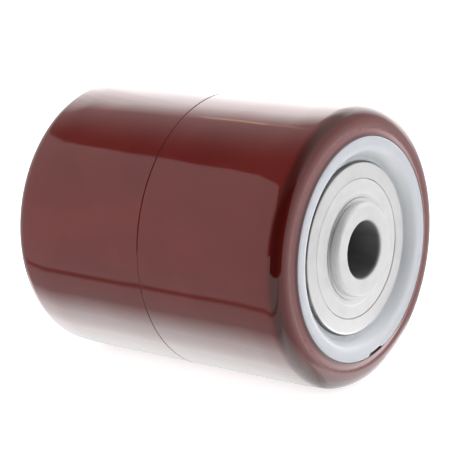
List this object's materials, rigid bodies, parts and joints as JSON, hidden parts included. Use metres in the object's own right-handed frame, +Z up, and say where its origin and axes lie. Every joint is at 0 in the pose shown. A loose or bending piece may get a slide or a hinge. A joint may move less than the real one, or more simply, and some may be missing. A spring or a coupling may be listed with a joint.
{
  "type": "load roller",
  "caption": "Pallet truck load roller: wide polyurethane tread moulded on a dished plastic core that turns on shielded ball bearings with flanged axle bushes.",
  "frame": {"origin": "centre of the roller, on the axle line at mid width", "axes": "+Y along the axle line, the axis that the roller spins about; +Z up; +X along the rolling direction"},
  "size_m": [0.085, 0.1028, 0.085],
  "materials": {
    "tread_polyurethane": "dark red polyurethane, glossy as moulded",
    "core_polyamide": "bluish white polyamide, smooth as moulded",
    "bearing_steel": "ground bearing steel",
    "shield_steel": "pressed sheet steel, satin",
    "cage_steel": "pressed sheet steel",
    "ball_steel": "polished bearing balls",
    "bush_steel": "turned steel, fine lathe marks",
    "tube_steel": "cold drawn tube, oiled"
  },
  "bodies": {
    "axle_group": {"spacer_tube": "tube_steel", "left_inner_ring": "bearing_steel", "left_flanged_bush": "bush_steel", "right_inner_ring": "bearing_steel", "right_flanged_bush": "bush_steel"},
    "roller": {"tread": "tread_polyurethane", "hub_core": "core_polyamide", "left_outer_ring": "bearing_steel", "left_outboard_shield": "shield_steel", "left_inboard_shield": "shield_steel", "right_outer_ring": "bearing_steel", "right_outboard_shield": "shield_steel", "right_inboard_shield": "shield_steel"},
    "left_cage": {"left_cage_outboard_half": "cage_steel", "left_cage_inboard_half": "cage_steel", "left_cage_rivets": "cage_steel"},
    "left_ball_1": {"left_ball_1": "ball_steel"},
    "left_ball_2": {"left_ball_2": "ball_steel"},
    "left_ball_3": {"left_ball_3": "ball_steel"},
    "left_ball_4": {"left_ball_4": "ball_steel"},
    "left_ball_5": {"left_ball_5": "ball_steel"},
    "left_ball_6": {"left_ball_6": "ball_steel"},
    "left_ball_7": {"left_ball_7": "ball_steel"},
    "right_cage": {"right_cage_outboard_half": "cage_steel", "right_cage_inboard_half": "cage_steel", "right_cage_rivets": "cage_steel"},
    "right_ball_1": {"right_ball_1": "ball_steel"},
    "right_ball_2": {"right_ball_2": "ball_steel"},
    "right_ball_3": {"right_ball_3": "ball_steel"},
    "right_ball_4": {"right_ball_4": "ball_steel"},
    "right_ball_5": {"right_ball_5": "ball_steel"},
    "right_ball_6": {"right_ball_6": "ball_steel"},
    "right_ball_7": {"right_ball_7": "ball_steel"}
  },
  "joints": [
    {"name": "roller_spin", "type": "hinge", "parent": "axle_group", "child": "roller", "pos_m": [0, 0, 0], "axis": [0, 1, 0], "continuous": true},
    {"name": "left_cage_orbit", "type": "hinge", "parent": "axle_group", "child": "left_cage", "pos_m": [0, 0.04125, 0], "axis": [0, 1, 0], "continuous": true},
    {"name": "left_ball_1_spin", "type": "hinge", "parent": "left_cage", "child": "left_ball_1", "pos_m": [0.018, 0.04125, 0], "axis": [0, 1, 0], "continuous": true},
    {"name": "left_ball_2_spin", "type": "hinge", "parent": "left_cage", "child": "left_ball_2", "pos_m": [0.01122, 0.04125, 0.01407], "axis": [0, 1, 0], "continuous": true},
    {"name": "left_ball_3_spin", "type": "hinge", "parent": "left_cage", "child": "left_ball_3", "pos_m": [-0.00401, 0.04125, 0.01755], "axis": [0, 1, 0], "continuous": true},
    {"name": "left_ball_4_spin", "type": "hinge", "parent": "left_cage", "child": "left_ball_4", "pos_m": [-0.01622, 0.04125, 0.00781], "axis": [0, 1, 0], "continuous": true},
    {"name": "left_ball_5_spin", "type": "hinge", "parent": "left_cage", "child": "left_ball_5", "pos_m": [-0.01622, 0.04125, -0.00781], "axis": [0, 1, 0], "continuous": true},
    {"name": "left_ball_6_spin", "type": "hinge", "parent": "left_cage", "child": "left_ball_6", "pos_m": [-0.00401, 0.04125, -0.01755], "axis": [0, 1, 0], "continuous": true},
    {"name": "left_ball_7_spin", "type": "hinge", "parent": "left_cage", "child": "left_ball_7", "pos_m": [0.01122, 0.04125, -0.01407], "axis": [0, 1, 0], "continuous": true},
    {"name": "right_cage_orbit", "type": "hinge", "parent": "axle_group", "child": "right_cage", "pos_m": [0, -0.04125, 0], "axis": [0, 1, 0], "continuous": true},
    {"name": "right_ball_1_spin", "type": "hinge", "parent": "right_cage", "child": "right_ball_1", "pos_m": [0.018, -0.04125, 0], "axis": [0, 1, 0], "continuous": true},
    {"name": "right_ball_2_spin", "type": "hinge", "parent": "right_cage", "child": "right_ball_2", "pos_m": [0.01122, -0.04125, 0.01407], "axis": [0, 1, 0], "continuous": true},
    {"name": "right_ball_3_spin", "type": "hinge", "parent": "right_cage", "child": "right_ball_3", "pos_m": [-0.00401, -0.04125, 0.01755], "axis": [0, 1, 0], "continuous": true},
    {"name": "right_ball_4_spin", "type": "hinge", "parent": "right_cage", "child": "right_ball_4", "pos_m": [-0.01622, -0.04125, 0.00781], "axis": [0, 1, 0], "continuous": true},
    {"name": "right_ball_5_spin", "type": "hinge", "parent": "right_cage", "child": "right_ball_5", "pos_m": [-0.01622, -0.04125, -0.00781], "axis": [0, 1, 0], "continuous": true},
    {"name": "right_ball_6_spin", "type": "hinge", "parent": "right_cage", "child": "right_ball_6", "pos_m": [-0.00401, -0.04125, -0.01755], "axis": [0, 1, 0], "continuous": true},
    {"name": "right_ball_7_spin", "type": "hinge", "parent": "right_cage", "child": "right_ball_7", "pos_m": [0.01122, -0.04125, -0.01407], "axis": [0, 1, 0], "continuous": true}
  ],
  "couplings": [
    {"joint": "left_cage_orbit", "follows": "roller_spin", "ratio": 0.6323},
    {"joint": "left_ball_1_spin", "follows": "roller_spin", "ratio": 1.7575},
    {"joint": "left_ball_2_spin", "follows": "roller_spin", "ratio": 1.7575},
    {"joint": "left_ball_3_spin", "follows": "roller_spin", "ratio": 1.7575},
    {"joint": "left_ball_4_spin", "follows": "roller_spin", "ratio": 1.7575},
    {"joint": "left_ball_5_spin", "follows": "roller_spin", "ratio": 1.7575},
    {"joint": "left_ball_6_spin", "follows": "roller_spin", "ratio": 1.7575},
    {"joint": "left_ball_7_spin", "follows": "roller_spin", "ratio": 1.7575},
    {"joint": "right_cage_orbit", "follows": "roller_spin", "ratio": 0.6323},
    {"joint": "right_ball_1_spin", "follows": "roller_spin", "ratio": 1.7575},
    {"joint": "right_ball_2_spin", "follows": "roller_spin", "ratio": 1.7575},
    {"joint": "right_ball_3_spin", "follows": "roller_spin", "ratio": 1.7575},
    {"joint": "right_ball_4_spin", "follows": "roller_spin", "ratio": 1.7575},
    {"joint": "right_ball_5_spin", "follows": "roller_spin", "ratio": 1.7575},
    {"joint": "right_ball_6_spin", "follows": "roller_spin", "ratio": 1.7575},
    {"joint": "right_ball_7_spin", "follows": "roller_spin", "ratio": 1.7575}
  ]
}
